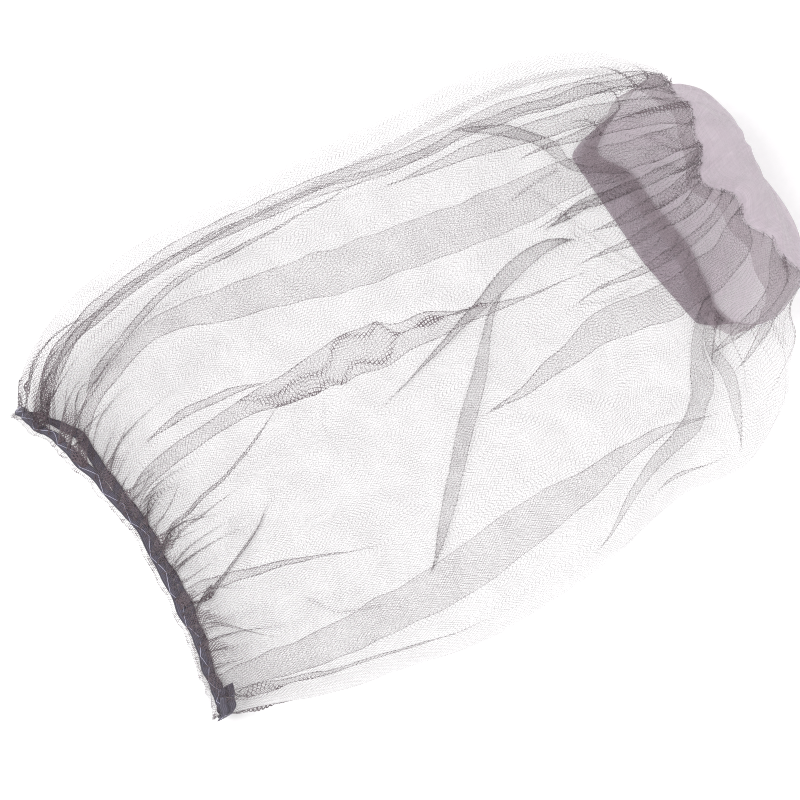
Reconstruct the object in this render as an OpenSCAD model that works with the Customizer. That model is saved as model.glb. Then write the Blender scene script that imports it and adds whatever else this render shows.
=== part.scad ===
// Pull-over beekeeping veil of fine net, lying on its side on a flat surface.
// +X runs along the veil from the elastic neck hem to the crown, and +Z is up.

/* [Net] */
// Height of the net where it stands highest
net_height = 96; // [84:1:108]
// Thickness of the net's wall
net_wall = 0.8; // [0.6:0.1:1]
// Points around each ring of the net
net_sides = 40; // [32:4:48]
// Rings in each span between two stations
span_rings = 2; // [2:1:3]

/* [Crown] */
// How far the crown cloth bulges past its seam
crown_bulge = 50; // [44:1:54]
// Height of the crown seam above the surface
crown_height = 62; // [56:1:66]
// Depth of the facing that is turned in under the crown seam
facing_depth = 21; // [14:1:24]
// Thickness of the crown cloth
crown_wall = 0.8; // [0.6:0.1:1]

/* [Neck hem] */
// Height of the relaxed neck opening
hem_height = 26; // [22:1:30]
// Width of the elastic band
elastic_w = 7; // [6:0.5:8]
// Thickness of the elastic band
elastic_t = 1; // [0.8:0.1:1.2]
// Width of the net's edge under the elastic, with its frill
hem_edge_w = 10; // [9.5:0.5:11]

/* [Stitching] */
// Radius of the sewing thread
thread_r = 0.35; // [0.25:0.05:0.4]
// Stitches around the crown seam
crown_stitches = 84; // [60:2:100]
// Zigzag stitches around the neck hem
hem_stitches = 88; // [60:2:100]
// Stitches along the side seam
side_stitches = 72; // [50:2:90]

/* [Hidden] */
gap = 0.3;                      // clearance between two pieces that lie against each other
stitch_in = 0.4;                // depth of a stitch in the cloth that it is sewn through
middle_x = 25;                  // middle of the stations' box, which becomes the origin
middle_y = 3;
hem_x = -168;                   // where the middle of the hem comes nearest to the crown
side_seam_k = 3;                // the ring point along which the side seam runs, counted from the high edge
side_seam_w = 0.25;             // width of the seam allowance, as a share of the way to the next ring point
join_t = 172;                   // angle round the hem at which the elastic's ends are sewn together
crown_cloth = [0.74, 0.69, 0.73];
net_grey = [0.36, 0.34, 0.37];
elastic_grey = [0.33, 0.32, 0.37];
thread_lilac = [0.72, 0.71, 0.80];

// The neck opening and the crown seam: [x, lean, low edge, high edge, height, hem bend, side bow].
// Lean is how much further along X the ring's top is than its underside.
hem_ring = [hem_x, -5, -115, 104, hem_height, 1, 0];
seam_ring = [185, 43, -64, 98, crown_height, 0, 21];
// Stations of the net from the neck hem to the crown seam, in the same form
stations = [
    hem_ring + [hem_edge_w / 2 + gap, 0, 0, 0, 0, 0, 0],
    [-152, 2, -121, 131, 0.48 * net_height, 0.5, 0],
    [-125, 0, -130, 146, 0.7 * net_height, 0.15, 0],
    [-85, 0, -139, 153, 0.88 * net_height, 0, 0],
    [-20, 0, -147, 152, net_height, 0, 0],
    [60, 2, -143, 150, net_height, 0, 0],
    [115, 8, -131, 149, 0.94 * net_height, 0, 2],
    [145, 20, -131, 142, 0.84 * net_height, 0, 8],
    [170, 34, -105, 121, 0.74 * net_height, 0, 17],
    seam_ring
];

// The hem isn't straight: both ends trail behind its middle, and the high end trails further
function hem_bend(y) = -0.0024 * pow(max(0, y + 15), 2) - 0.0012 * pow(min(0, y + 15), 2);

// A point of a ring at angle t, so far in from its outer face and so far along X.
// The ring is an oval whose underside is pressed flat on the surface.
function ring_point(ring, t, inset, along = 0) =
    let (
        half = (ring[3] - ring[2]) / 2,
        y = (ring[2] + ring[3]) / 2 + (half - inset) * cos(t),
        z = max(inset, 0.42 * ring[4] + (0.58 * ring[4] - inset) * sin(t))
    )
    [ring[0] + along + ring[1] * z / ring[4] + ring[5] * hem_bend(y) + ring[6] * pow(cos(t), 2) - middle_x,
     y - middle_y, z];

// Catmull-Rom between stations: s counts stations from the neck hem
function station(s) =
    let (
        last = len(stations) - 1,
        i = min(last - 1, floor(s)),
        u = s - i,
        a = stations[max(0, i - 1)],
        b = stations[i],
        c = stations[i + 1],
        d = stations[min(last, i + 2)]
    )
    b + 0.5 * u * ((c - a) + u * ((2 * a - 5 * b + 4 * c - d) + u * (3 * (b - c) + d - a)));

// A closed tube of quads through rings of points: rings[i][j] with j going round
function tube_faces(rings, around, closed_rings) = [
    for (i = [0 : rings - (closed_rings ? 1 : 2)], j = [0 : around - 1])
        let (i2 = (i + 1) % rings, j2 = (j + 1) % around)
        each [
            [i * around + j, i2 * around + j, i2 * around + j2],
            [i * around + j, i2 * around + j2, i * around + j2]
        ]
];

// A loop swept round the opening: section is a list of [inset, along] corners
module swept_loop(ring, section, steps) {
    angles = [for (k = [0 : steps - 1]) 360 * k / steps];
    points = [for (t = angles, p = section) ring_point(ring, t, p[0], p[1])];
    polyhedron(points, tube_faces(steps, len(section), true), convexity = 6);
}

// A shell whose outer and inner faces are lists of rings of points: out along one, back along the other
module shell(outer, inner) {
    n = len(outer[0]);
    rings = concat(outer, [for (i = [len(inner) - 1 : -1 : 0]) inner[i]]);
    polyhedron([for (r = rings) each r], tube_faces(len(rings), n, true), convexity = 8);
}

// A solid bar through rings of four points, closed at both ends
module bar(rings) {
    last = (len(rings) - 1) * 4;
    ends = [[0, 1, 2], [0, 2, 3], [last, last + 2, last + 1], [last, last + 3, last + 2]];
    polyhedron([for (r = rings) each r], concat(tube_faces(len(rings), 4, false), ends), convexity = 4);
}

// A straight length of thread from a to b
module thread(a, b, r = thread_r) {
    v = b - a;
    translate(a) rotate([0, acos(v[2] / norm(v)), atan2(v[1], v[0])]) cylinder(h = norm(v), r = r, $fn = 16);
}

ring_angles = [for (k = [0 : net_sides - 1]) 360 * k / net_sides];
skirt_steps = [for (i = [0 : (len(stations) - 1) * span_rings]) i / span_rings];

module net_skirt() {
    color(net_grey)
        shell([for (s = skirt_steps) [for (t = ring_angles) ring_point(station(s), t, 0)]],
              [for (s = skirt_steps) [for (t = ring_angles) ring_point(station(s), t, net_wall)]]);
}

// The dome: rings shrink from the seam towards the pole while they move along +X
dome_steps = [for (k = [0 : 7]) k * 12.5];
function dome_point(t, turn, inset) =
    let (
        start = ring_point(seam_ring, t, inset, gap),
        middle = [seam_ring[0] + gap + seam_ring[1] * 0.45 - middle_x, 20 - middle_y, 0.42 * crown_height],
        rim = middle + (start - middle) * cos(turn)
    )
    [rim[0] + (crown_bulge - inset) * pow(sin(turn), 2), rim[1] + 12 * sin(turn), max(inset, rim[2])];

module crown_panel() {
    outer = [for (turn = dome_steps) [for (t = ring_angles) dome_point(t, turn, 0)]];
    inner = [for (turn = dome_steps) [for (t = ring_angles) dome_point(t, turn, crown_wall)]];
    n = net_sides;
    m = len(outer);
    rings = concat([for (i = [m - 1 : -1 : 0]) outer[i]], inner);
    body = [for (r = rings) each r];
    poles = [dome_point(0, 90, 0), dome_point(0, 90, crown_wall)];
    caps = [for (j = [0 : n - 1]) each [
        [len(body), j, (j + 1) % n],
        [len(body) + 1, (2 * m - 1) * n + (j + 1) % n, (2 * m - 1) * n + j]
    ]];
    color(crown_cloth)
        polyhedron(concat(body, poles), concat(tube_faces(2 * m, n, false), caps), convexity = 6);
}

// Crown cloth turned in under the seam: a band that hangs inside the net
function facing_ring(u) = seam_ring + u * [-facing_depth, 2, 2, -2, -2, 0, -4];

module crown_facing() {
    inset = net_wall + gap;
    color(crown_cloth * 0.92)
        shell([for (u = [1, 0.66, 0.33, 0]) [for (t = ring_angles) ring_point(facing_ring(u), t, inset)]],
              [for (u = [1, 0.66, 0.33, 0])
                  [for (t = ring_angles) ring_point(facing_ring(u), t, inset + crown_wall)]]);
}

module crown_stitching() {
    step = 360 / crown_stitches;
    color(thread_lilac)
        for (k = [0 : crown_stitches - 1])
            thread(ring_point(seam_ring, k * step, stitch_in, -2),
                   ring_point(seam_ring, (k + 0.62) * step, stitch_in, -2));
}

// The net's two edges are joined along its length: the allowance lies against the inside of the net,
// in the plane of the facet beside the seam
function seam_strip_point(ring, share, inset) =
    let (
        a = ring_point(ring, ring_angles[side_seam_k], inset),
        b = ring_point(ring, ring_angles[side_seam_k + 1], inset)
    )
    a + share * (b - a);

module side_seam_allowance() {
    inset = net_wall + 2 * gap;
    steps = [for (i = [0 : (len(stations) - 2) * span_rings]) i / span_rings];
    color(net_grey * 0.9)
        bar([for (s = steps) [
            seam_strip_point(station(s), 0, inset), seam_strip_point(station(s), side_seam_w, inset),
            seam_strip_point(station(s), side_seam_w, inset + net_wall), seam_strip_point(station(s), 0, inset + net_wall)
        ]]);
}

module side_seam_stitching() {
    length = (len(stations) - 2) / side_stitches;
    side_seam_t = ring_angles[side_seam_k];
    color(thread_lilac)
        for (k = [0 : side_stitches - 1])
            thread(ring_point(station(k * length), side_seam_t, stitch_in),
                   ring_point(station((k + 0.6) * length), side_seam_t, stitch_in));
}

// A closed band round the hem, from one place along X to another
module hem_band(inset, thickness, low, high) {
    swept_loop(hem_ring, [[inset, high], [inset, low], [inset + thickness, low], [inset + thickness, high]], 64);
}

// The elastic lies outside the net's edge, and the edge stands out past it as a narrow frill
elastic_low = 3 - hem_edge_w / 2;

module neck_elastic() {
    color(elastic_grey) hem_band(0, elastic_t, elastic_low, elastic_low + elastic_w);
}

module hem_net_edge() {
    color(net_grey * 0.8) hem_band(elastic_t + gap, net_wall, -hem_edge_w / 2, hem_edge_w / 2);
}

// The elastic's end is lapped over its start, slightly askew, and sewn down
function join_point(u, across, lift) =
    ring_point(hem_ring, join_t - 26 * u, -lift, elastic_low + elastic_w / 2 + across * 0.8 + 2 * u - 1);

module elastic_join() {
    w = elastic_w / 2;
    strip = [for (u = [0 : 0.2 : 1]) [
        join_point(u, w, gap), join_point(u, -w, gap),
        join_point(u, -w, gap + elastic_t), join_point(u, w, gap + elastic_t)
    ]];
    color(elastic_grey * 1.1) bar(strip);
}

module elastic_join_stitching() {
    lift = gap + elastic_t / 2;
    color(thread_lilac)
        for (row = [0.2, 0.8], k = [-2.2 : 1.4 : 2])
            thread(join_point(row, k, lift), join_point(row, k + 0.4, lift));
}

module hem_stitching() {
    step = 360 / hem_stitches;
    low = elastic_low + 1.5;
    high = elastic_low + elastic_w - 1.5;
    color(thread_lilac)
        for (k = [0 : hem_stitches - 1])
            thread(ring_point(hem_ring, k * step, stitch_in, k % 2 == 0 ? low : high),
                   ring_point(hem_ring, (k + 0.9) * step, stitch_in, k % 2 == 0 ? high : low));
}

crown_panel();
crown_facing();
crown_stitching();
net_skirt();
side_seam_allowance();
side_seam_stitching();
hem_net_edge();
neck_elastic();
elastic_join();
elastic_join_stitching();
hem_stitching();
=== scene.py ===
"""Looks of a beekeeping veil on its side: a gathered net tube, a woven crown and an elastic neck hem.

Shapes are worked out in millimetres, along the same rings as the CAD frame, and made in metres."""

import math

import bpy
import numpy as np
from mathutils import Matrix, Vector


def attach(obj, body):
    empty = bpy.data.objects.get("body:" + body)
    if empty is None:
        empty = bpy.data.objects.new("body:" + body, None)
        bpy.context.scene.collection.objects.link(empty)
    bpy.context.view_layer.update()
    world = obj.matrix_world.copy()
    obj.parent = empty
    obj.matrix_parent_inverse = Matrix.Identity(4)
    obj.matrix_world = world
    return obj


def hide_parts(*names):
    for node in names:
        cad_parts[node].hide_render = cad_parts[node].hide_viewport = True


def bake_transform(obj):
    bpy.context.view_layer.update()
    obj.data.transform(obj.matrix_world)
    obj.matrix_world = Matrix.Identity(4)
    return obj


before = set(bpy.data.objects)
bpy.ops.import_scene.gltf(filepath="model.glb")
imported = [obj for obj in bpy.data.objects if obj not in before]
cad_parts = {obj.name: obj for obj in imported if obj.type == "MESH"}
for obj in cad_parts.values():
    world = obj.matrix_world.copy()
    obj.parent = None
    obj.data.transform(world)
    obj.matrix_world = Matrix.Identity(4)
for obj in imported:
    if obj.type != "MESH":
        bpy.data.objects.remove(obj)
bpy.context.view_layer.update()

MM = 0.001
rng = np.random.default_rng(7)

# ---------------------------------------------------------------- the veil's rings, as in the CAD
# Each row: x, lean, low edge, high edge, height, share of the hem's bend, bow of the sides
HEM = np.array([-168, -5, -115, 104, 26, 1, 0], float)
SEAM = np.array([185, 43, -64, 98, 62, 0, 21], float)
NET_HEIGHT = 96
STATIONS = np.array([
    HEM,
    [-152, 2, -121, 131, 0.48 * NET_HEIGHT, 0.5, 0],
    [-125, 0, -130, 146, 0.7 * NET_HEIGHT, 0.15, 0],
    [-85, 0, -139, 153, 0.88 * NET_HEIGHT, 0, 0],
    [-20, 0, -147, 152, NET_HEIGHT, 0, 0],
    [60, 2, -143, 150, NET_HEIGHT, 0, 0],
    [115, 8, -131, 149, 0.94 * NET_HEIGHT, 0, 2],
    [145, 20, -131, 142, 0.84 * NET_HEIGHT, 0, 8],
    [170, 34, -105, 121, 0.74 * NET_HEIGHT, 0, 17],
    SEAM,
])
MIDDLE_X, MIDDLE_Y = 25, 3
WIDEST_AT = 0.42       # share of a ring's height at which it is widest


def step(u):
    """Smooth step from 0 to 1 while u goes from 0 to 1."""
    v = np.clip(u, 0, 1)
    return v * v * (3 - 2 * v)


def bump(u):
    """Bell curve that is 1 at u = 0."""
    return np.exp(-u * u)


def hem_bend(y):
    """How far the hem's ends swing back along X at y."""
    return -0.0024 * np.maximum(0, y + 15) ** 2 - 0.0012 * np.minimum(0, y + 15) ** 2


def ring_points(ring, t, inset=0.0, along=0.0):
    """Points at angles t (degrees) of rings whose rows are in ring's last axis."""
    x0, lean, low, high, height, bend, bow = np.moveaxis(ring, -1, 0)
    cos, sin = np.cos(np.radians(t)), np.sin(np.radians(t))
    y = (low + high) / 2 + ((high - low) / 2 - inset) * cos
    z = np.maximum(inset, WIDEST_AT * height + ((1 - WIDEST_AT) * height - inset) * sin)
    x = x0 + along + lean * z / height + bend * hem_bend(y) + bow * cos ** 2
    return np.stack(np.broadcast_arrays(x - MIDDLE_X, y - MIDDLE_Y, z), -1)


def station(s):
    """Catmull-Rom between the stations; s counts stations from the hem."""
    s = np.asarray(s, float)
    last = len(STATIONS) - 1
    i = np.minimum(last - 1, np.floor(s).astype(int))
    u = (s - i)[..., None]
    a, b = STATIONS[np.maximum(0, i - 1)], STATIONS[i]
    c, d = STATIONS[i + 1], STATIONS[np.minimum(last, i + 2)]
    return b + 0.5 * u * ((c - a) + u * ((2 * a - 5 * b + 4 * c - d) + u * (3 * (b - c) + d - a)))


def seam_wave(y, z):
    """How far the slack crown seam wanders from its plain ring, at points across it: along X and up."""
    top = step((z - 18) / 30)
    dx = top * (9 * bump((y + 45) / 20) - 11 * bump((y - 30) / 16) - 3 * bump((y - 72) / 10)
                + 2.5 * np.sin(y * 0.21))
    dx = dx + (1 - top) * (9 * bump((y + 2) / 30) - 22 * bump((y - 73) / 17) - 12 * bump((y + 62) / 20))
    dz = top * (3 * bump((y + 40) / 18) - 10 * bump((y - 28) / 15) - 3 * bump((y - 70) / 9))
    return dx, dz


def waved(p, share):
    """Moves points by the crown seam's wandering, as far as share says."""
    dx, dz = seam_wave(p[..., 1], p[..., 2])
    q = p.copy()
    q[..., 0] += share * dx
    q[..., 2] = np.maximum(0.3, p[..., 2] + share * dz)
    return q


def hem_drift(t):
    """How far the slack hem strays from its plain ring at angles t: along X and up."""
    r = np.radians(t)
    y = -8.5 + 109.5 * np.cos(r)
    lower = step(0.5 - np.sin(r))
    unrest = 0.7 * np.sin(9 * r + 1) + 0.5 * np.sin(17 * r + 2) + 0.3 * np.sin(31 * r)
    dx = lower * (9 * bump((y - 72) / 27) - 3.5) + unrest
    dz = (1 - lower) * (1.1 * np.sin(7 * r) + 0.7 * np.sin(15 * r + 1))
    return dx, dz


def hem_points(t, inset, along):
    """Points on the neck hem at angles t, with its drift."""
    p = ring_points(HEM, t, inset, along)
    dx, dz = hem_drift(t)
    p[..., 0] += dx
    p[..., 2] = np.maximum(0.25, p[..., 2] + dz)
    return p


def ripple(a, b, cycles_a, cycles_b, count, seed):
    """Smooth noise about 1 high: up to cycles_a waves round a (0 to 1, closed), up to cycles_b along b."""
    r = np.random.default_rng(seed)
    total = np.zeros(np.broadcast(a, b).shape)
    for _ in range(count):
        ka = r.integers(-cycles_a, cycles_a + 1)
        kb = r.uniform(-cycles_b, cycles_b)
        total += np.sin(2 * np.pi * (ka * a + kb * b) + r.uniform(0, 2 * np.pi))
    return total / math.sqrt(count)


# ---------------------------------------------------------------- making meshes
def grid_object(name, points, closed=False, uv=None, **attributes):
    """A mesh of quads through points[i][j], in millimetres; closed joins the last j to the first."""
    rows, columns = points.shape[:2]
    mesh = bpy.data.meshes.new(name)
    i = np.arange(rows - 1)[:, None]
    j = np.arange(columns if closed else columns - 1)[None, :]
    j2 = (j + 1) % columns
    here, beyond = i * columns, (i + 1) * columns
    quads = np.stack(np.broadcast_arrays(here + j, here + j2, beyond + j2, beyond + j), -1).reshape(-1, 4)
    mesh.vertices.add(rows * columns)
    mesh.vertices.foreach_set("co", (points.reshape(-1, 3) * MM).astype(np.float32).ravel())
    mesh.loops.add(quads.size)
    mesh.loops.foreach_set("vertex_index", quads.ravel().astype(np.int32))
    mesh.polygons.add(len(quads))
    mesh.polygons.foreach_set("loop_start", np.arange(0, quads.size, 4, dtype=np.int32))
    mesh.polygons.foreach_set("use_smooth", np.ones(len(quads), bool))
    if uv is not None:
        u, v = uv
        ui = np.broadcast_to(u, (rows, columns))
        vi = np.broadcast_to(v, (rows, columns))
        pitch = ui[:, -1:] + (ui[:, -1:] - ui[:, -2:-1])
        u_all = np.concatenate([ui, pitch], 1)
        v_all = np.concatenate([vi, vi[:, :1]], 1)
        jj = np.broadcast_to(j, (rows - 1, j.shape[1]))
        ii = np.broadcast_to(i, jj.shape)
        loops = np.stack([
            np.stack([u_all[a, b], v_all[a, b]], -1)
            for a, b in ((ii, jj), (ii, jj + 1), (ii + 1, jj + 1), (ii + 1, jj))
        ], 2)
        layer = mesh.uv_layers.new(name="cloth")
        layer.data.foreach_set("uv", (loops * MM).astype(np.float32).ravel())
    for key, values in attributes.items():
        layer = mesh.attributes.new(key, "FLOAT", "POINT")
        layer.data.foreach_set("value", np.broadcast_to(values, (rows, columns)).astype(np.float32).ravel())
    mesh.update()
    mesh.validate()
    obj = bpy.data.objects.new(name, mesh)
    bpy.context.scene.collection.objects.link(obj)
    return obj


def joined(name, objects):
    """One object from several."""
    with bpy.context.temp_override(active_object=objects[0], object=objects[0], selected_objects=objects,
                                   selected_editable_objects=objects):
        bpy.ops.object.join()
    objects[0].name = objects[0].data.name = name
    return objects[0]


def tube(name, centres, radius, sides=8):
    """A round thread through centres, in millimetres, with closed ends."""
    centres = np.asarray(centres, float)
    tangent = np.gradient(centres, axis=0)
    tangent /= np.linalg.norm(tangent, axis=1)[:, None]
    guide = np.where(np.abs(tangent[:, 2:3]) < 0.9, [[0.0, 0.0, 1.0]], [[1.0, 0.0, 0.0]])
    side = np.cross(tangent, guide)
    side /= np.linalg.norm(side, axis=1)[:, None]
    up = np.cross(side, tangent)
    turn = np.arange(sides) * 2 * np.pi / sides
    size = np.full(len(centres), float(radius))
    size[0] = size[-1] = 0.02
    ring = np.cos(turn)[None, :, None] * side[:, None] + np.sin(turn)[None, :, None] * up[:, None]
    points = centres[:, None] + size[:, None, None] * ring
    length = np.concatenate([[0], np.cumsum(np.linalg.norm(np.diff(centres, axis=0), axis=1))])
    return grid_object(name, points, closed=True, uv=(turn[None, :] * radius, length[:, None]))


def normals(points, closed):
    """Unit normals of a grid of points, away from the rings' inside."""
    if closed:
        across = np.roll(points, -1, 1) - np.roll(points, 1, 1)
    else:
        across = np.gradient(points, axis=1)
    n = np.cross(across, np.gradient(points, axis=0))
    return n / np.maximum(np.linalg.norm(n, axis=-1), 1e-9)[..., None]


# ---------------------------------------------------------------- the net
CLOTH_ROUND = 850      # the net's cut width, which goes round the veil
NET_ROWS = 200
NET_COLUMNS = 900
RING_STEPS = 1440      # how finely a plain ring is measured

# Long folds of the upper side, then of the underside, each a few places (along, across, width).
# Along runs from 0 at the neck hem to 1 at the crown seam, across from -1 to 1, and width is in mm.
UPPER_FOLDS = [
    [(0, 0.85, 9), (0.1, 0.89, 9), (0.5, 0.88, 9), (0.65, 0.82, 11), (0.85, 0.77, 12), (1, 0.84, 9)],
    [(0, 0.82, 7), (0.1, 0.86, 6), (0.5, 0.85, 7), (0.65, 0.79, 7), (0.85, 0.74, 8), (1, 0.81, 7)],
    [(0.58, 0.75, 0), (0.7, 0.71, 8), (0.8, 0.65, 13), (1, 0.68, 9)],
    [(0, 0.58, 9), (0.1, 0.65, 11), (0.2, 0.68, 12), (0.3, 0.62, 20), (0.5, 0.52, 30), (0.75, 0.4, 27),
     (1, 0.45, 14)],
    [(0.1, 0.31, 0), (0.18, 0.32, 6), (0.25, 0.3, 6), (0.32, 0.27, 0)],
    [(0, 0.22, 9), (0.1, 0.19, 10), (0.3, 0.22, 11), (0.45, 0.22, 15), (0.6, 0.15, 9), (0.7, 0.06, 2),
     (0.8, 0.02, 0)],
    [(0, -0.04, 3), (0.1, -0.04, 3), (0.2, 0.02, 2.5), (0.28, 0.12, 2), (0.31, 0.18, 0)],
    [(0, -0.1, 2.5), (0.12, -0.09, 2), (0.22, -0.04, 0)],
    [(0.55, -0.23, 0), (0.63, -0.22, 8), (0.75, -0.2, 21), (0.9, -0.22, 26), (1, -0.22, 18)],
    [(0, -0.34, 8), (0.1, -0.38, 9), (0.2, -0.4, 5), (0.35, -0.49, 0)],
    [(0, -0.5, 4), (0.05, -0.55, 4), (0.1, -0.64, 3), (0.14, -0.71, 0)],
    [(0, -0.84, 14), (0.15, -0.8, 24), (0.42, -0.71, 34), (0.55, -0.67, 30), (0.7, -0.67, 14),
     (0.84, -0.73, 0)],
    [(0.25, 0.21, 0), (0.4, 0.23, 6), (0.52, 0.18, 7), (0.64, 0.11, 0)],
    [(0.86, -0.5, 0), (0.93, -0.52, 15), (1, -0.55, 20)],
    [(0.88, -0.64, 0), (0.95, -0.63, 13), (1, -0.68, 15)],
]
LOWER_FOLDS = [
    [(0.42, -0.02, 0), (0.5, 0.05, 2), (0.6, 0.13, 6), (0.7, 0.2, 13), (0.78, 0.22, 8), (0.83, 0.2, 0)],
    [(0.38, -0.71, 0), (0.42, -0.58, 11), (0.5, -0.33, 18), (0.6, -0.04, 15), (0.64, 0.09, 8),
     (0.67, 0.15, 2)],
    [(0.62, -0.95, 4), (0.7, -0.87, 10), (0.8, -0.79, 13), (0.9, -0.68, 20), (1, -0.62, 16)],
    [(0.87, -0.97, 0), (0.9, -0.88, 12), (0.95, -0.77, 15), (1, -0.74, 10)],
    [(0.72, -0.93, 0), (0.77, -0.92, 6), (0.85, -0.93, 0)],
    [(0, -0.47, 3), (0.1, -0.37, 3), (0.2, -0.22, 2), (0.22, -0.14, 0)],
    [(0, -0.93, 5), (0.1, -0.92, 6), (0.3, -0.93, 4), (0.45, -0.95, 0)],
    [(0.08, 0.7, 6), (0.25, 0.82, 5), (0.6, 0.83, 0)],
    [(0.72, 0.85, 0), (0.8, 0.75, 10), (0.88, 0.62, 12), (1, 0.5, 10)],
    [(0.78, 0.28, 0), (0.88, 0.34, 9), (1, 0.36, 8)],
]
PLEATS_ACROSS = (-0.06, 0.07, 0.17, 0.28, 0.57)   # where broader pleats fan out from the crown seam

# Fine creases of the upper side, then of the underside, as places (along, across)
UPPER_CREASES = [
    [(0.1, 0.77), (0.2, 0.74), (0.3, 0.7)],
    [(0.12, 0.82), (0.3, 0.8), (0.43, 0.83), (0.55, 0.77)],
    [(0.37, 0.12), (0.35, 0.02), (0.35, -0.12)],
    [(0.73, 0.43), (0.8, 0.46)],
]
LOWER_CREASES = [
    [(0.8, 0.45), (0.85, 0.25), (0.9, 0), (0.95, -0.2)],
    [(0.83, 0.25), (0.88, 0), (0.93, -0.15)],
    [(0.78, -0.07), (0.82, -0.1), (0.9, -0.1)],
    [(0.2, -0.6), (0.23, -0.7), (0.3, -0.74)],
]


def seam_pleats():
    """Broader pleats of the upper side, from the crown seam into the net."""
    return [
        [(0.72 + 0.04 * (k % 3), across, 0), (0.87, across + 0.01, 7 + k % 3), (1, across + 0.03, 9 + k % 3)]
        for k, across in enumerate(PLEATS_ACROSS)
    ]


def swirl(count):
    """Fine creases that curl through the net where it is bunched behind the crown."""
    made = []
    for _ in range(count):
        start = rng.uniform(0.1, 0.42)
        lean = rng.uniform(-0.25, 0.12)
        reach = rng.uniform(0.06, 0.13)
        made.append([(1 - reach * u, start + lean * u ** 1.5 + 0.04 * math.sin(5 * u + start * 9))
                     for u in np.linspace(0, 1, 5)])
    return made


def line_distance(points, path):
    """Distance in plan from every point to a line through the path."""
    nearest = np.full(points.shape[:-1], 1e9)
    for a, b in zip(path[:-1], path[1:]):
        way = b - a
        u = np.clip(((points[..., :2] - a) @ way) / (way @ way), 0, 1)
        nearest = np.minimum(nearest, np.linalg.norm(points[..., :2] - a - u[..., None] * way, axis=-1))
    return nearest


def even_stations(count):
    """Station values whose rings are evenly spaced along the net."""
    s = np.linspace(0, len(STATIONS) - 1, 900)
    rows = station(s)
    quarters = (90.0, 180.0, 0.0, -90.0)
    middle = sum(ring_points(rows, t) for t in quarters) / len(quarters)
    length = np.concatenate([[0], np.cumsum(np.linalg.norm(np.diff(middle, axis=0), axis=1))])
    return np.interp(np.linspace(0, length[-1], count), length, s), length[-1]


def smooth_rows(values, reach):
    """Moving average along the rows, with the ends held."""
    window = np.hanning(2 * reach + 1)
    padded = np.concatenate([np.full(reach, values[0]), values, np.full(reach, values[-1])])
    return np.convolve(padded, window / window.sum(), "valid")


def side_angle(upper, across):
    """Angle round a ring, from -90 to 270, of places across the veil's upper side or its underside."""
    t = np.degrees(np.arccos(np.clip(across, -1, 1)))
    return t if upper else np.where(t > 90, 360 - t, -t)


def placed_fold(arc, angles, along, upper, places, seed):
    """A fold's place round every ring, as a share from -0.25 to 0.75, and its width there."""
    a, across, width = np.array(places, float).T
    where = side_angle(upper, smooth_rows(np.interp(along, a, across), 7))
    place = np.array([np.interp(t, angles, row) / row[-1] for t, row in zip(where, arc)])
    if not upper:
        place = np.where(place > 0.5, place - 1, place)
    inside = np.interp(along, a, width, left=0 if a[0] > 0 else None, right=0 if a[-1] < 1 else None)
    wiggle = 0.0007 * ripple(along, 0 * along, 14, 0, 8, seed)
    uneven = 1 + 0.05 * ripple(along, 0 * along, 17, 0, 8, seed + 50)
    return place + wiggle, smooth_rows(inside, 4) * uneven


def crease_path(along, s, upper, places):
    """Points in plan along a crease."""
    a, across = np.array(places, float).T
    k = np.arange(len(a))
    u = np.linspace(0, len(a) - 1, 4 * len(a))
    ring = station(np.interp(np.interp(u, k, a), along, s))
    return ring_points(ring, side_angle(upper, np.interp(u, k, across)))[:, :2]


def gather_folds(away, count, widest, reach):
    """Short pleats that start at a gathered edge and die away from it."""
    folds = []
    for k in range(count):
        place = (k + rng.uniform(0.1, 0.9)) / count - 0.25
        length = reach[0] + (reach[1] - reach[0]) * rng.uniform() ** 2.0
        width = widest * rng.uniform(0.45, 1)
        drift = rng.normal(0, 0.016)
        bend = rng.normal(0, 0.006)
        fade = np.clip(1 - away / length, 0, 1)
        folds.append((place + drift * away / 100 + bend * np.sin(away / 13), width * fade ** 1.1))
    return folds


def soft_ramp(u):
    """Zero below u = 0 and rising as u above it, with a rounded corner."""
    rounding = 0.05
    return 0.5 * (u + np.sqrt(u * u + rounding ** 2))


def folded(cloth, start, width, total):
    """How far folds carry the cloth back, how high they lie and where they crease, along every row."""
    back = np.zeros_like(cloth)
    lift = np.zeros_like(cloth)
    crease = np.zeros_like(cloth)
    for k in range(len(start)):
        w = width[k][:, None]
        wide = np.maximum(w, 0.3)
        for turn in (-1, 0, 1):
            u = (cloth - start[k][:, None] - turn * total[:, None]) / wide
            if turn and not (np.abs(u - 0.5) < 6).any():
                continue
            back += 2 * w * (soft_ramp(u) - soft_ramp(u - 1) - (turn == -1))
            height = np.minimum(w, 0.5 + 0.07 * w)
            lift += 2 * height * step(u) * (1 - step((u - 1) / 1.6))
            crease += np.minimum(1, w / 3) * (bump(u * wide / 0.9) + bump((u - 1) * wide / 0.9))
    return back, lift, crease


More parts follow.
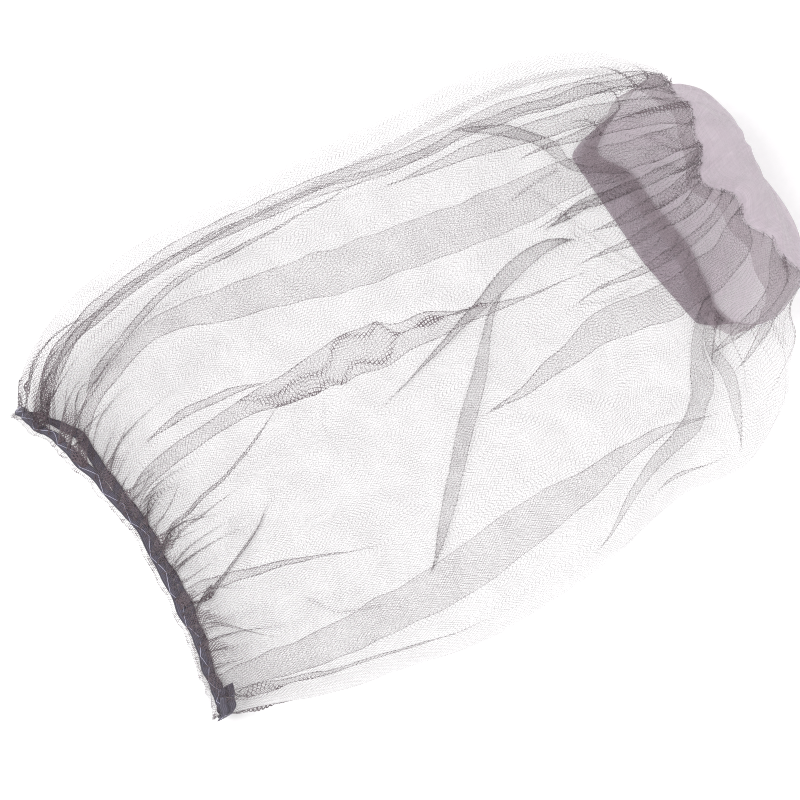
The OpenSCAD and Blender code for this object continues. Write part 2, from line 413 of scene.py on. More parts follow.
def net_shape():
    """The folded net: its points, cloth coordinates, how tightly it is gathered and where it is creased."""
    s, length = even_stations(NET_ROWS)
    rows = station(s)
    angles = np.linspace(-90, 270, RING_STEPS + 1)
    dense = ring_points(rows[:, None, :], angles[None, :])
    arc = np.concatenate([np.zeros((NET_ROWS, 1)),
                          np.cumsum(np.linalg.norm(np.diff(dense, axis=1), axis=2), axis=1)], 1)
    round_mm = arc[:, -1]
    run = np.linspace(0, length, NET_ROWS)

    share_along = run / length
    named = [(True, f) for f in UPPER_FOLDS + seam_pleats()] + [(False, f) for f in LOWER_FOLDS]
    folds = [placed_fold(arc, angles, share_along, upper, f, 100 + k) for k, (upper, f) in enumerate(named)]
    folds += gather_folds(run, 78, 3.4, (10, 80))
    folds += gather_folds(length - run, 34, 3.2, (12, 60))
    centre = np.array([(f[0] + 0.25) * round_mm for f in folds])
    width = np.array([f[1] for f in folds])
    before = step((centre[:, None] - centre[None, :]) / 12 + 0.5)
    for k in range(len(folds)):
        before[k, k] = 0
    start = centre + width / 2 + 2 * np.einsum("kji,ji->ki", before, width)
    total = round_mm + 2 * width.sum(0)
    share = np.linspace(0, 1, NET_COLUMNS, endpoint=False)
    cloth = share[None, :] * total[:, None]
    back, lift, crease = folded(cloth, start, width, total)
    place = cloth - back - 0.25 * round_mm[:, None]
    angle = np.empty_like(place)
    for i in range(NET_ROWS):
        angle[i] = np.interp(np.mod(place[i], round_mm[i]), arc[i], angles)

    base = ring_points(rows[:, None, :], angle)
    plain_normal = normals(ring_points(rows[:, None, :], angles[None, :-1]), True)
    normal = np.empty_like(base)
    for i in range(NET_ROWS):
        for axis in range(3):
            normal[i, :, axis] = np.interp(angle[i], angles[:-1], plain_normal[i, :, axis], period=360)
    normal /= np.linalg.norm(normal, axis=2)[..., None]
    down = step(0.5 - normal[..., 2] * 1.5)
    along = share_along[:, None]
    around = place / round_mm[:, None]
    near_hem = run[:, None]
    near_seam = (length - run)[:, None]
    free = step(near_hem / 60) * step(near_seam / 40)
    waves = 2.2 * ripple(around, along, 7, 2.5, 18, 11) + 0.7 * ripple(around, along, 26, 5, 30, 12)
    fine = 0.35 * ripple(around, along, 90, 14, 40, 13)
    crimp = 0.9 * ripple(around, along, 120, 2, 24, 14) * (bump(near_hem / 16) + 0.45 * bump(near_seam / 14))
    push = lift * (1 - 2 * down) + (waves * free + fine * (0.4 + 0.6 * free)) * (1 - 0.6 * down) + crimp
    hold = 1.3 * (1 - step(near_hem / 14)) + 0.6 * (1 - step(near_seam / 10))
    for upper, paths in ((True, UPPER_CREASES + swirl(10)), (False, LOWER_CREASES)):
        side = step(0.5 + (2 if upper else -2) * normal[..., 2])
        for path in paths:
            distance = line_distance(base, crease_path(share_along, s, upper, path))
            crease += 0.4 * side * bump(distance / 0.8)
            push += 0.7 * side * bump(distance / 2.6) * (1 - 0.5 * down)
    for edge_angle, strength in ((0, 0.6), (180, 1.3)):
        off_mm = ((angle - edge_angle + 180) % 360 - 180) / 360 * round_mm[:, None]
        patchiness = 0.65 + 0.35 * ripple(share[None, :] * 0, along, 1, 9, 6, 18 + edge_angle)
        crease += strength * patchiness * bump(off_mm / 1.0)
    points = base + normal * (push - hold)[..., None]
    points = waved(points, step(1 - near_seam / 75))
    dx, dz = hem_drift(angle)
    points[..., 0] += dx * (1 - step(near_hem / 45))
    points[..., 2] += dz * (1 - step(near_hem / 45))
    over_slack = 1.3 * step((points[..., 0] - 122) / 12) * down
    points[..., 2] = np.maximum(points[..., 2], 0.35 + over_slack + 0.5 * np.abs(lift) * down)

    smooth = waved(base, step(1 - near_seam / 75))
    pieces = np.linalg.norm(np.diff(smooth, axis=0), axis=2)
    cloth_length = np.concatenate([np.zeros((1, NET_COLUMNS)), np.cumsum(pieces, axis=0)])
    reach = 9 + 6 * ripple(share[None, :], 0 * along, 9, 0, 10, 15) + 11 * bump((angle - 25) / 32)
    reach = np.maximum(reach, 3.5)
    streak = np.clip(ripple(share[None, :], along, 210, 4, 70, 16) - 0.1, 0, 2.2)
    streak_two = np.clip(ripple(share[None, :], along, 130, 12, 70, 17) - 0.3, 0, 2.2)
    patch = np.clip(ripple(share[None, :], 0 * along, 34, 0, 30, 19) - 0.3, 0, 2)
    bunched = (streak + 0.6 * streak_two) * (1.7 * np.exp(-(near_hem / reach) ** 1.4)
                                             + 0.35 * np.exp(-(near_seam / (0.7 * reach)) ** 1.4))
    high_end = bump((angle - 20) / 22) * bump(near_hem / 26)
    bunched += patch * (3 * bump(near_hem / (1.4 * reach)) + 1.6 * high_end)
    tight = (CLOTH_ROUND / total)[:, None] * (1 + bunched)
    return points, share, cloth_length, tight, np.minimum(crease, 1.5)


# ---------------------------------------------------------------- materials
class Nodes:
    """A short way to write shader nodes."""

    def __init__(self, name):
        self.material = bpy.data.materials.new(name)
        self.material.use_nodes = True
        self.tree = self.material.node_tree
        self.tree.nodes.clear()
        self.output = self.tree.nodes.new("ShaderNodeOutputMaterial")
        self.shader = self.tree.nodes.new("ShaderNodeBsdfPrincipled")
        self.tree.links.new(self.shader.outputs[0], self.output.inputs["Surface"])

    def put(self, socket, value):
        if isinstance(value, bpy.types.NodeSocket):
            self.tree.links.new(value, socket)
        elif value is not None:
            socket.default_value = value

    def node(self, kind, inputs=(), out=0, **settings):
        n = self.tree.nodes.new("ShaderNode" + kind)
        for key, value in settings.items():
            setattr(n, key, value)
        for key, value in (inputs.items() if isinstance(inputs, dict) else enumerate(inputs)):
            self.put(n.inputs[key], value)
        return n.outputs[out]

    def math(self, operation, *values, clamp=False):
        return self.node("Math", values, operation=operation, use_clamp=clamp)

    def vector(self, operation, *values, out=0):
        return self.node("VectorMath", values, out, operation=operation)

    def attribute(self, name):
        return self.node("Attribute", out="Fac", attribute_name=name)

    def uv(self, scale):
        flat = self.node("UVMap", uv_map="cloth")
        return self.vector("MULTIPLY", flat, scale)

    def noise(self, vector, scale, detail=3.0, roughness=0.5):
        return self.node("TexNoise", {"Vector": vector, "Scale": scale, "Detail": detail,
                                      "Roughness": roughness})

    def ramp(self, value, low, high, to_low=0.0, to_high=1.0, smooth=False):
        kind = "SMOOTHSTEP" if smooth else "LINEAR"
        return self.node("MapRange", {"Value": value, "From Min": low, "From Max": high, "To Min": to_low,
                                      "To Max": to_high}, interpolation_type=kind)

    def colours(self, factor, first, second):
        return self.node("Mix", {"Factor": factor, "A": (*first, 1), "B": (*second, 1)}, "Result",
                         data_type="RGBA")

    def shades(self, factor, shade, darkest, palest):
        """A shade from its darkest to its palest, each a multiple of it."""
        return self.colours(factor, tuple(darkest * c for c in shade), tuple(palest * c for c in shade))

    def bump(self, height, distance, strength=1.0):
        normal = self.node("Bump", {"Strength": strength, "Distance": distance, "Height": height})
        self.set(Normal=normal)

    def set(self, **values):
        for key, value in values.items():
            self.put(self.shader.inputs[key.replace("_", " ")], value)


def net_material(name, pitch, yarn, shade):
    """Knitted net: dark yarns that cross on the slant, thicker where the cloth is gathered or creased."""
    m = Nodes(name)
    cloth = m.uv((1 / pitch, 1 / pitch, 1.0))
    wobble = m.node("TexNoise", {"Vector": cloth, "Scale": 0.4, "Detail": 0.0}, "Color")
    centred = m.vector("SUBTRACT", wobble, (0.5, 0.5, 0.5))
    moved = m.vector("ADD", cloth, m.vector("SCALE", centred, None, None, 0.12))
    first = m.math("PINGPONG", m.vector("DOT_PRODUCT", moved, (0.86, 0.5, 0.0), out="Value"), 0.5)
    second = m.math("PINGPONG", m.vector("DOT_PRODUCT", moved, (-0.86, 0.5, 0.0), out="Value"), 0.5)
    edge = m.math("MINIMUM", first, second)
    density = m.math("ADD", m.attribute("tight"), m.math("MULTIPLY", m.attribute("crease"), 2.2))
    uneven = m.ramp(m.noise(cloth, 0.06, 2.0), 0.35, 0.65, 0.8, 1.25)
    reach = m.math("MULTIPLY", m.math("MULTIPLY", density, uneven), yarn / pitch / 2)
    within = m.math("SUBTRACT", m.math("MULTIPLY", reach, 1.4), edge)
    solid = m.math("DIVIDE", within, m.math("MULTIPLY", reach, 0.8), clamp=True)
    yarn_fluff = m.noise(cloth, 2.7, 0.0)
    tone = m.ramp(yarn_fluff, 0.3, 0.7)
    m.set(Base_Color=m.shades(tone, shade, 0.75, 1.3))
    sheer = m.ramp(density, 1.0, 3.2, 0.5, 0.95)
    m.set(Alpha=m.math("MULTIPLY", solid, sheer), Roughness=m.ramp(yarn_fluff, 0.3, 0.7, 0.45, 0.65))
    m.set(Sheen_Weight=0.3, Sheen_Roughness=0.5, Specular_IOR_Level=0.35)
    m.bump(yarn_fluff, 0.00008, 0.6)
    return m.material


WEAVE_PITCH = 0.00042


def crown_material(name, cover, shade):
    """Thin plain-woven cloth: crossing threads with pinholes, so it lets part of the light through."""
    m = Nodes(name)
    cloth = m.uv((1 / WEAVE_PITCH, 1 / WEAVE_PITCH, 1.0))
    split = m.tree.nodes.new("ShaderNodeSeparateXYZ")
    m.put(split.inputs[0], cloth)
    warp = m.math("PINGPONG", split.outputs[0], 0.5)
    weft = m.math("PINGPONG", split.outputs[1], 0.5)
    hole = m.math("MINIMUM", warp, weft)
    slub = m.noise(m.vector("MULTIPLY", cloth, (0.02, 0.3, 1.0)), 1.0, 3.0)
    slub_two = m.noise(m.vector("MULTIPLY", cloth, (0.3, 0.02, 1.0)), 1.0, 3.0)
    streak = m.math("MULTIPLY", m.math("ADD", slub, slub_two), 0.5)
    cloud = m.noise(cloth, 0.012, 4.0)
    turn = m.math("MULTIPLY", m.math("ARCTAN2", split.outputs[1], split.outputs[0]), 2.6)
    outward = m.math("MULTIPLY", m.vector("LENGTH", cloth, out="Value"), 0.006)
    polar = m.node("CombineXYZ", (turn, outward, 0.0))
    crinkle = m.noise(polar, 1.8, 2.0)
    # This mix: the cloud part is random tone, and the crinkle part is painted shade of the soft radial
    # folds.
    patchiness = m.math("ADD", m.math("MULTIPLY", cloud, 0.2), m.math("MULTIPLY", crinkle, 0.35))
    tone = m.math("ADD", m.math("MULTIPLY", streak, 0.45), patchiness)
    m.set(Base_Color=m.shades(m.ramp(tone, 0.38, 0.62), shade, 0.84, 1.14))
    thick = m.math("MULTIPLY", m.ramp(streak, 0.35, 0.65, 0.9, 1.1), cover)
    open_share = m.ramp(hole, 0.05, 0.45, 1.18, 0.82, True)
    # Painted shade of the soft radial folds: the crinkle pattern thins and thickens the cloth's cover, so
    # the folds show as lighter and darker tones.
    folds = m.ramp(crinkle, 0.3, 0.7, 0.86, 1.14, True)
    m.set(Alpha=m.math("MULTIPLY", m.math("MULTIPLY", thick, folds), open_share, clamp=True))
    m.set(Roughness=m.ramp(streak, 0.35, 0.65, 0.52, 0.72))
    m.set(Sheen_Weight=0.35, Sheen_Roughness=0.4, Specular_IOR_Level=0.3)
    crossing = m.math("ABSOLUTE", m.math("SUBTRACT", warp, weft))
    weave = m.math("ADD", crossing, m.math("MULTIPLY", streak, 0.6))
    m.bump(m.math("ADD", weave, m.math("MULTIPLY", crinkle, 45.0)), 0.00012, 0.7)
    return m.material


COURSE_PITCH, RIB_PITCH, BAND_WIDTH = 0.0009, 0.0011, 0.007


def elastic_material(name, shade):
    """Knitted elastic: fine stitches across its ribs, with a painted highlight that makes the rib crests
    paler in specks.
    """
    m = Nodes(name)
    cloth = m.uv((1.0, 1.0, 1.0))
    split = m.tree.nodes.new("ShaderNodeSeparateXYZ")
    m.put(split.inputs[0], cloth)
    course = m.math("PINGPONG", m.math("MULTIPLY", split.outputs[0], 1 / COURSE_PITCH), 0.5)
    rib = m.math("PINGPONG", m.math("MULTIPLY", split.outputs[1], 1 / RIB_PITCH), 0.5)
    speck = m.noise(m.vector("MULTIPLY", cloth, (2600.0, 1200.0, 1.0)), 1.0, 2.0)
    wear = m.noise(m.vector("MULTIPLY", cloth, (60.0, 200.0, 1.0)), 1.0, 3.0)
    # Painted highlight: the rib crests are made paler in specks, where light would catch them.
    shine = m.math("MULTIPLY", m.ramp(rib, 0.1, 0.45, 0.1, 1.0, True), m.ramp(speck, 0.3, 0.7, 0.4, 1.0))
    tone = m.math("ADD", m.math("MULTIPLY", shine, 0.6), m.math("MULTIPLY", wear, 0.4))
    from_rim = m.math("PINGPONG", m.math("MULTIPLY", split.outputs[1], 1 / BAND_WIDTH), 0.5)
    tone = m.math("MULTIPLY", tone, m.ramp(from_rim, 0.03, 0.2, 0.3, 1.0, True))
    m.set(Base_Color=m.shades(m.ramp(tone, 0.1, 0.8), shade, 0.4, 1.7))
    m.set(Roughness=m.ramp(wear, 0.3, 0.7, 0.58, 0.82))
    m.set(Sheen_Weight=0.4, Sheen_Roughness=0.5, Specular_IOR_Level=0.3)
    m.bump(m.math("ADD", m.math("MULTIPLY", course, 0.7), rib), 0.00025, 0.9)
    return m.material


def thread_material(name, shade):
    """Twisted sewing thread: two plies that wind round each other."""
    m = Nodes(name)
    cloth = m.uv((1.0, 1.0, 1.0))
    twist = m.vector("DOT_PRODUCT", cloth, (2200.0, 1400.0, 0.0), out="Value")
    ply = m.math("PINGPONG", twist, 0.5)
    fluff = m.noise(m.vector("MULTIPLY", cloth, (5000.0, 900.0, 1.0)), 1.0, 2.0)
    # The ply term is painted shade, darker in the grooves between the plies where the bump is lowest; the
    # fluff term is random tone.
    tone = m.math("MULTIPLY", m.ramp(ply, 0.0, 0.5, 0.55, 1.0), m.ramp(fluff, 0.3, 0.7, 0.8, 1.0))
    m.set(Base_Color=m.shades(tone, shade, 0.6, 1.0))
    m.set(Roughness=m.ramp(fluff, 0.3, 0.7, 0.4, 0.6), Sheen_Weight=0.3, Specular_IOR_Level=0.4)
    m.bump(ply, 0.0001, 0.8)
    return m.material


def floor_material():
    """Plain pale paper with a faint grain."""
    m = Nodes("floor_paper")
    place = m.node("TexCoord", out="Object")
    grain = m.noise(place, 220.0, 4.0)
    m.set(Base_Color=m.colours(m.ramp(grain, 0.3, 0.7), (0.885, 0.885, 0.885), (0.905, 0.905, 0.905)))
    m.set(Roughness=0.9, Specular_IOR_Level=0.1)
    return m.material


def dress(obj, material, body, slot, *nodes):
    """Gives a piece its material and its body, and hides the CAD nodes that it stands for; slot is not used.
    """
    obj.data.materials.clear()
    obj.data.materials.append(material)
    if nodes:
        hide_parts(*nodes)
    if body:
        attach(obj, body)
    return obj


NET_SHADE = (0.098, 0.07, 0.082)
net_knit = net_material("net_knit", 0.0013, 0.000125, NET_SHADE)
hem_knit = net_material("hem_knit", 0.0012, 0.00011, NET_SHADE)
crown_weave = crown_material("crown_weave", 0.5, (0.45, 0.38, 0.43))
# The allowance is the crown's own cloth; its darker shade here is painted shade, for where it hangs inside
# the net under the seam.
allowance_cloth_painted_shade = crown_material("allowance_cloth_painted_shade", 0.46, (0.34, 0.28, 0.31))
ribbed_elastic = elastic_material("ribbed_elastic", (0.085, 0.078, 0.105))
pale_thread = thread_material("pale_thread", (0.5, 0.48, 0.62))
dark_thread = thread_material("dark_thread", (0.2, 0.17, 0.2))


# ---------------------------------------------------------------- net pieces
def make_net():
    """The folded net, one piece of cloth bent round into a tube."""
    points, share, cloth_length, tight, crease = net_shape()
    obj = grid_object("net_tube", points, closed=True, uv=(share[None, :] * CLOTH_ROUND, cloth_length),
                      tight=tight, crease=crease)
    return dress(obj, net_knit, None, "net", "net_skirt")


net_tube = make_net()

# ---------------------------------------------------------------- crown
CROWN_BULGE = 42
CROWN_AROUND = 360
CROWN_RINGS = 46
CROWN_RADIUS = 82      # the crown cloth's radius laid flat, without its slack
SLACK_DEPTH = 20
# The crown's radial folds: angle, spread and height of each
CROWN_RADIALS = ((28, 4, 2.0), (52, 6, 3.2), (74, 4, 2.6), (98, 7, 3.4), (121, 4, 2.4), (146, 5, 2.6))


def crown_point(t, turn, inset=0.4):
    """A place on the crown's slack dome: turn goes from 0 at the seam to 90 at its middle."""
    start = ring_points(SEAM, t, inset, 0.0)
    middle = np.array([SEAM[0] + SEAM[1] * 0.45 - MIDDLE_X, 20 - MIDDLE_Y, 0.42 * SEAM[4]])
    shrink = np.cos(np.radians(turn))[..., None]
    rise = np.sin(np.radians(turn))
    p = middle + (start - middle) * shrink
    p[..., 0] += CROWN_BULGE * rise ** 1.6
    p[..., 1] += 12 * rise - 17 * np.sin(np.radians(2 * turn)) * np.maximum(0, np.cos(np.radians(t)))
    return p


def slack_fold(t, u):
    """The crown's slack, folded back under the net: u goes from 0 at the seam, over the fold, to 1."""
    seam = waved(ring_points(SEAM, t, 0.4, 0.0), 1.0)
    y = seam[..., 1]
    edge = 142.5 - 0.1 * np.maximum(y, 0) - 0.22 * np.minimum(y, 0)
    low = step((12 - seam[..., 2]) / 10) * step((y + 66) / 12) * step((96 - y) / 12)
    depth = np.maximum(0, seam[..., 0] - edge) * low
    out = np.sin(np.pi * u) ** 0.8
    p = seam.copy()
    p[..., 0] -= depth * out
    p[..., 2] = np.maximum(p[..., 2] * (1 - low) + low * (1.25 - 0.85 * u), 0.35)
    return p


def make_crown():
    """The crown cloth: its slack, then its dome with puckers and folds that run in from the seam."""
    t = np.linspace(0, 360, CROWN_AROUND, endpoint=False)[None, :]
    u = np.linspace(0, 1, 15)[:, None]
    tt, uu = np.broadcast_arrays(t, u)
    slack = slack_fold(tt, uu)
    turn = np.linspace(0, 89.5, CROWN_RINGS)[:, None]
    t, turn = np.broadcast_arrays(t, turn)
    p = crown_point(t, turn)
    p = waved(p, step(1 - turn / 60))
    fade = np.cos(np.radians(turn))
    n = normals(p, True)
    around, inward = t / 360, turn / 90
    puckers = 0.7 * ripple(around, inward, 70, 1.0, 24, 21) * bump(inward / 0.14)
    broad = 3.2 * ripple(around, inward, 5, 0.8, 8, 22) + 1.4 * ripple(around, inward, 13, 0.7, 12, 24)
    folds = broad * fade * step(inward * 3)
    small = 0.5 * ripple(around, inward, 18, 3.0, 20, 23) * fade
    radial = sum(size * bump((t - place - 14 * inward) / wide) for place, wide, size in CROWN_RADIALS)
    radial = 1.3 * radial * bump(inward / 0.5) * step(inward * 6)
    p = p + n * (puckers + folds + small + radial)[..., None]
    p[..., 2] = np.maximum(p[..., 2], 0.35)
    p = np.concatenate([slack[:-1], p])
    rim = np.linspace(SLACK_DEPTH, 1, len(slack) - 1)[:, None] + CROWN_RADIUS + 0 * t[:1]
    flat_radius = np.concatenate([rim, CROWN_RADIUS * (1 - inward)])
    angle = np.radians(t[:1])
    obj = grid_object("crown_cloth", p, closed=True)
    set_plan_uv(obj, flat_radius * np.cos(angle), flat_radius * np.sin(angle))
    dress(obj, crown_weave, "veil", "crown_cloth", "crown_panel")


def set_plan_uv(obj, u, v):
    """Gives each corner of a mesh the cloth place of its vertex."""
    mesh = obj.data
    index = np.zeros(len(mesh.loops), np.int32)
    mesh.loops.foreach_get("vertex_index", index)
    uv = np.stack([u.ravel()[index], v.ravel()[index]], -1) * MM
    layer = mesh.uv_layers.new(name="cloth")
    layer.data.foreach_set("uv", uv.astype(np.float32).ravel())


make_crown()

FACING_DEPTH = 13


def make_facing():
    """The crown cloth's allowance, turned in under the seam and hanging free inside the net."""
    t = np.linspace(0, 360, 420, endpoint=False)[None, :]
    back = np.linspace(0, 1, 14)[:, None]
    t, back = np.broadcast_arrays(t, back)
    change = np.array([0, 2, 2, -2, -2, 0, -4], float)
    p = ring_points(SEAM + back[..., None] * change, t, 1.5)
    across = p[..., 1]
    upper_depth = 12 + 2 * np.sin(across * 0.07) + 5 * bump((across + 45) / 25)
    top = step((p[..., 2] - 14) / 26)
    p[..., 0] -= back * (10 + (upper_depth - 10) * top)
    p = waved(p, 1 - 0.35 * back * top)
    n = normals(p, True)
    flutter = 1.6 * ripple(t / 360, back * 0.2, 16, 1.0, 14, 31) * back
    flutter = flutter + 0.4 * ripple(t / 360, back, 60, 1.0, 20, 32)
    p = p - n * np.abs(flutter)[..., None]
    p[..., 2] = np.maximum(p[..., 2], 2.2)
    obj = grid_object("crown_allowance", p, closed=True, uv=(t * 1.35, back * FACING_DEPTH))
    dress(obj, allowance_cloth_painted_shade, "veil", "crown_cloth", "crown_facing")


make_facing()


# ---------------------------------------------------------------- neck hem
HEM_TURNS = 900
ELASTIC_LOW, ELASTIC_W, ELASTIC_T = -2.0, 7.0, 1.0


def kinks(t, size, count, seed):
    """Narrow bumps where the relaxed elastic buckles, at uneven places round the hem."""
    r = np.random.default_rng(seed)
    total = np.zeros(np.shape(t))
    for k in range(count):
        place = (k + r.uniform(0.2, 0.8)) * 360 / count
        total = total + r.uniform(0.2, 1) * bump(((t - place + 180) % 360 - 180) / r.uniform(0.6, 1.6))
    return size * total


def make_elastic():
    """The ribbed elastic band, one closed loop that buckles a little where it is relaxed."""
    t = np.linspace(0, 360, HEM_TURNS + 1)
    ribs, half = 5, 25
    across = np.linspace(0, 1, half)
    edge = np.sqrt(np.clip(1 - (2 * across - 1) ** 12, 0, 1))
    outer = (ELASTIC_T / 2 + 0.18 * np.abs(np.sin(np.pi * ribs * across))) * edge
    x = np.concatenate([across, across[::-1][1:-1]])
    h = np.concatenate([outer, -outer[::-1][1:-1]])
    tt, xx = np.meshgrid(t, x, indexing="ij")
    hh = np.broadcast_to(h, tt.shape)
    share = tt / 360
    wide = ELASTIC_W * (0.86 + 0.07 * ripple(share, 0 * share, 30, 0, 14, 51))
    twist = 0.10 * ripple(share, 0 * share, 14, 0, 10, 52)
    shrink = kinks(tt, 0.12, 46, 53)
    across_mm = (xx - 0.5) * wide * (1 - shrink)
    height = kinks(tt, 0.8, 46, 53) + 0.22 * ripple(share, xx * 0.1, 60, 1, 20, 54)
    inset = ELASTIC_T / 2 - hh + 0.25 - height + across_mm * twist
    p = hem_points(tt, inset, ELASTIC_LOW + ELASTIC_W / 2 + across_mm)
    p[..., 2] = np.maximum(p[..., 2], 0.1 + 0.4 * (hh > 0))
    obj = grid_object("elastic_band", p, closed=True, uv=(share * 440, xx * ELASTIC_W))
    dress(obj, ribbed_elastic, "neck_hem", "elastic", "neck_elastic")


make_elastic()


def make_hem_edge():
    """The net's own edge under the elastic; its selvedge stands out past the band as a frill."""
    t = np.linspace(0, 360, 1100, endpoint=False)[None, :]
    back = np.linspace(0, 1, 16)[:, None]
    t, back = np.broadcast_arrays(t, back)
    frill = bump(back / 0.28)
    uneven = ripple(t / 360, back * 0, 44, 0, 24, 41)
    along = -4.6 + 10 * back - 0.8 * uneven * frill
    inset = 1.4 + (1.1 * ripple(t / 360, back * 0.3, 95, 1, 30, 42)) * (0.25 + 0.75 * frill)
    p = hem_points(t, inset, along)
    p[..., 2] = np.maximum(p[..., 2], 0.4)
    selvedge = bump(back / 0.07)
    streak = np.clip(ripple(t / 360, back, 200, 2, 60, 43), 0, 2)
    obj = grid_object("net_edge", p, closed=True, uv=(t / 360 * CLOTH_ROUND, back * 10),
                      tight=1.3 + 1.2 * streak, crease=0.5 * selvedge)
    dress(obj, hem_knit, "neck_hem", "net", "hem_net_edge")


make_hem_edge()


LAP_START, LAP_TURN = 177, 29      # angle at which the elastic's lapped end starts, and how far it runs


def lap_along(u, off):
    """Place along X on the lapped end, u of the way along it and off millimetres from its middle."""
    return ELASTIC_LOW + 5.5 + off + 7 * u - 2


def make_join():
    """The elastic's free end, lapped over its start a little askew."""
    steps, half = 40, 13
    u = np.linspace(0, 1, steps)
    across = np.linspace(-1, 1, half)
    rib = 0.18 * np.abs(np.sin(np.pi * 3 * across)) * (1 - across ** 8)
    height = 0.5 * np.sqrt(np.clip(1 - across ** 12, 0, 1)) + rib
    x = np.concatenate([across, across[::-1][1:-1]])
    h = np.concatenate([height, -height[::-1][1:-1]])
    uu, xx = np.meshgrid(u, x, indexing="ij")
    hh = np.broadcast_to(h, uu.shape)
    close = np.minimum(1, np.minimum(uu, 1 - uu) * 14)
    lift = 1.3 + hh * close + 0.6 * np.sin(uu * 9) * uu
    p = hem_points(LAP_START - LAP_TURN * uu, -lift, lap_along(uu, xx * 5 * (0.94 + 0.06 * close)))
    obj = grid_object("elastic_lap", p, closed=True, uv=(uu * 22, xx * 5))
    dress(obj, ribbed_elastic, "neck_hem", "elastic", "elastic_join")


make_join()


# ---------------------------------------------------------------- stitching
ZIGZAG_STEPS = 58
SIDE_SEAM_ANGLE, SIDE_SEAM_TURN = 27.0, 3.8


def zigzag():
    """One zigzag thread over the elastic, all round."""
    t = np.linspace(0, 360, 2200)
    phase = np.abs((t / 360 * ZIGZAG_STEPS) % 2 - 1)
    along = ELASTIC_LOW + 1.4 + (ELASTIC_W - 2.8) * phase
    sunk = -0.35 + 0.45 * ripple(t / 360, 0 * t, 24, 0, 12, 61) - kinks(t, 0.8, 46, 53)
    return tube("hem_zigzag", hem_points(t, np.minimum(sunk, 0.1), along), 0.17, 6)


def dashes(name, path, count, filled, radius):
    """Separate stitches along a path, which is a function of 0 to 1."""
    made = []
    for k in range(count):
        u = (k + np.linspace(0, filled, 7)) / count
        made.append(tube(f"{name}_{k}", path(u), radius, 6))
    return joined(name, made)


def crown_seam_path(u):
    """The crown seam's stitch line, as a function of 0 to 1."""
    t = 360 * u
    p = waved(ring_points(SEAM, t, -0.2, -2.0), 1.0)
    p[:, 2] = np.maximum(p[:, 2], 0.25)
    return p


def side_seam_path(u):
    """The side seam's stitch line, as a function of 0 to 1."""
    s = u * (len(STATIONS) - 2)
    return ring_points(station(s), SIDE_SEAM_ANGLE, 0.1)


def lap_path(row):
    """The line of one row of stitches across the lapped end."""
    def path(u):
        uu = row + 0.05 * np.sin(u * 5)
        return hem_points(LAP_START - LAP_TURN * uu, -2.1, lap_along(uu, (2 * u - 1) * 4.4))
    return path


dress(zigzag(), pale_thread, "neck_hem", "thread", "hem_stitching")
crown_stitches = dashes("crown_seam_stitches", crown_seam_path, 150, 0.66, 0.16)
dress(crown_stitches, dark_thread, "veil", "thread", "crown_stitching")
lap_rows = [dashes(name, lap_path(row), 4, 0.7, 0.17) for name, row in (("lap_a", 0.2), ("lap_b", 0.8))]
dress(joined("lap_stitches", lap_rows), pale_thread, "neck_hem", "thread", "elastic_join_stitching")
side_stitches = dashes("side_seam_stitches", side_seam_path, 130, 0.7, 0.14)
dress(side_stitches, dark_thread, None, "thread", "side_seam_stitching")


def make_side_seam():
    """The net's two lengthwise edges, joined and turned in."""
    s = even_stations(200)[0]
    s = s[s < len(STATIONS) - 2]
    rows = station(s)
    u = np.linspace(0, 1, 6)
    p = ring_points(rows[:, None, :], SIDE_SEAM_ANGLE + SIDE_SEAM_TURN * u[None, :], 0.9)
    run = np.linspace(0, 400, len(s))[:, None]
    obj = grid_object("side_seam", p, uv=(u[None, :] * 6, run), tight=np.array(1.4), crease=np.array(0.1))
    return dress(obj, hem_knit, None, "net", "side_seam_allowance")


side_seam = make_side_seam()

# ---------------------------------------------------------------- the net pieces' transforms, baked into their meshes
for piece in (net_tube, side_seam, side_stitches):
    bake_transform(piece)


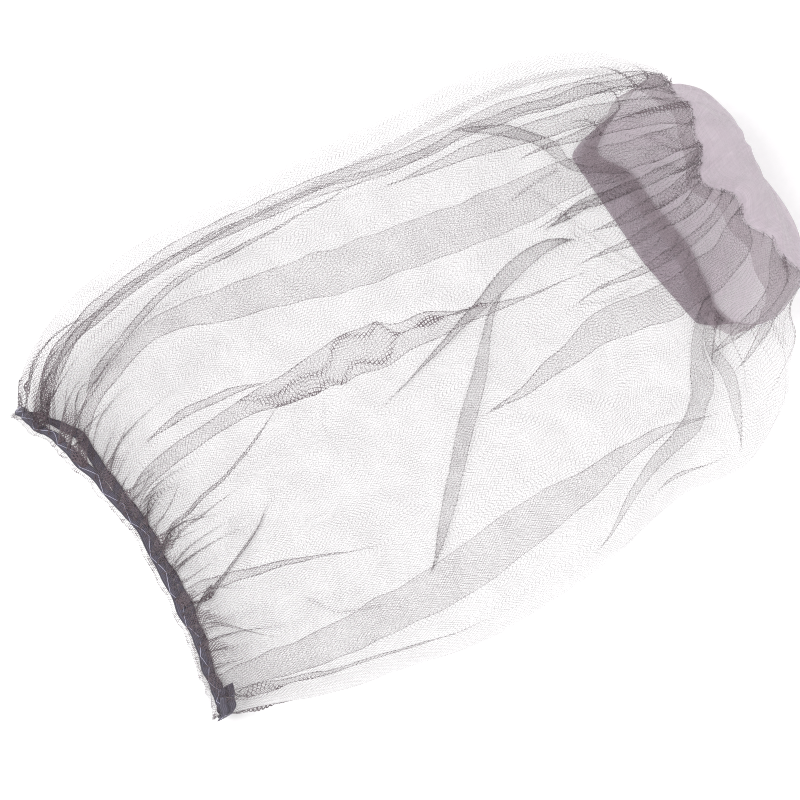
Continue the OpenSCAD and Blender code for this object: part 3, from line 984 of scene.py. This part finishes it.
# ---------------------------------------------------------------- stage
VEIL_TURN = -28.6      # degrees that the camera is turned about the vertical
FLOOR_GAP = 0.0004


def area_light(name, place, target, size, power):
    """A soft square light that points at target."""
    data = bpy.data.lights.new(name, "AREA")
    data.shape, data.size, data.energy = "SQUARE", size, power
    obj = bpy.data.objects.new(name, data)
    obj.location = place
    look = np.array(target, float) - np.array(place, float)
    obj.rotation_euler = Vector(look).to_track_quat("-Z", "Y").to_euler()
    bpy.context.scene.collection.objects.link(obj)


def make_stage():
    """A plain pale floor under soft light."""
    half = 6.0
    mesh = bpy.data.meshes.new("floor")
    corners = [(-half, -half, 0), (half, -half, 0), (half, half, 0), (-half, half, 0)]
    mesh.from_pydata(corners, [], [(0, 1, 2, 3)])
    floor = bpy.data.objects.new("floor", mesh)
    floor.location.z = -FLOOR_GAP
    bpy.context.scene.collection.objects.link(floor)
    mesh.materials.append(floor_material())
    world = bpy.data.worlds.new("studio")
    world.use_nodes = True
    sky = world.node_tree.nodes["Background"]
    sky.inputs[0].default_value = (1.0, 0.985, 0.995, 1)
    sky.inputs[1].default_value = 0.9
    bpy.context.scene.world = world
    area_light("key", (-1.2, 1.0, 2.2), (0, 0, 0), 1.6, 41)
    area_light("fill", (1.6, -1.2, 1.8), (0, 0, 0), 1.8, 19)
    bpy.context.scene.view_settings.view_transform = "Standard"


def make_camera():
    """Looks straight down, turned so that the crown points up to the right."""
    data = bpy.data.cameras.new("camera")
    distance, seen = 2.0, 0.48
    data.lens = data.sensor_width * distance / seen
    data.clip_end = 50
    camera = bpy.data.objects.new("camera", data)
    camera.location = (-MIDDLE_X * MM, -MIDDLE_Y * MM, distance)
    camera.rotation_euler = (0, 0, math.radians(VEIL_TURN))
    bpy.context.scene.collection.objects.link(camera)
    bpy.context.scene.camera = camera


make_stage()
make_camera()
cycles = bpy.context.scene.cycles
cycles.transparent_max_bounces = 48
cycles.max_bounces = 5
cycles.diffuse_bounces = 2
cycles.denoising_prefilter = "NONE"
cycles.filter_width = 1.0
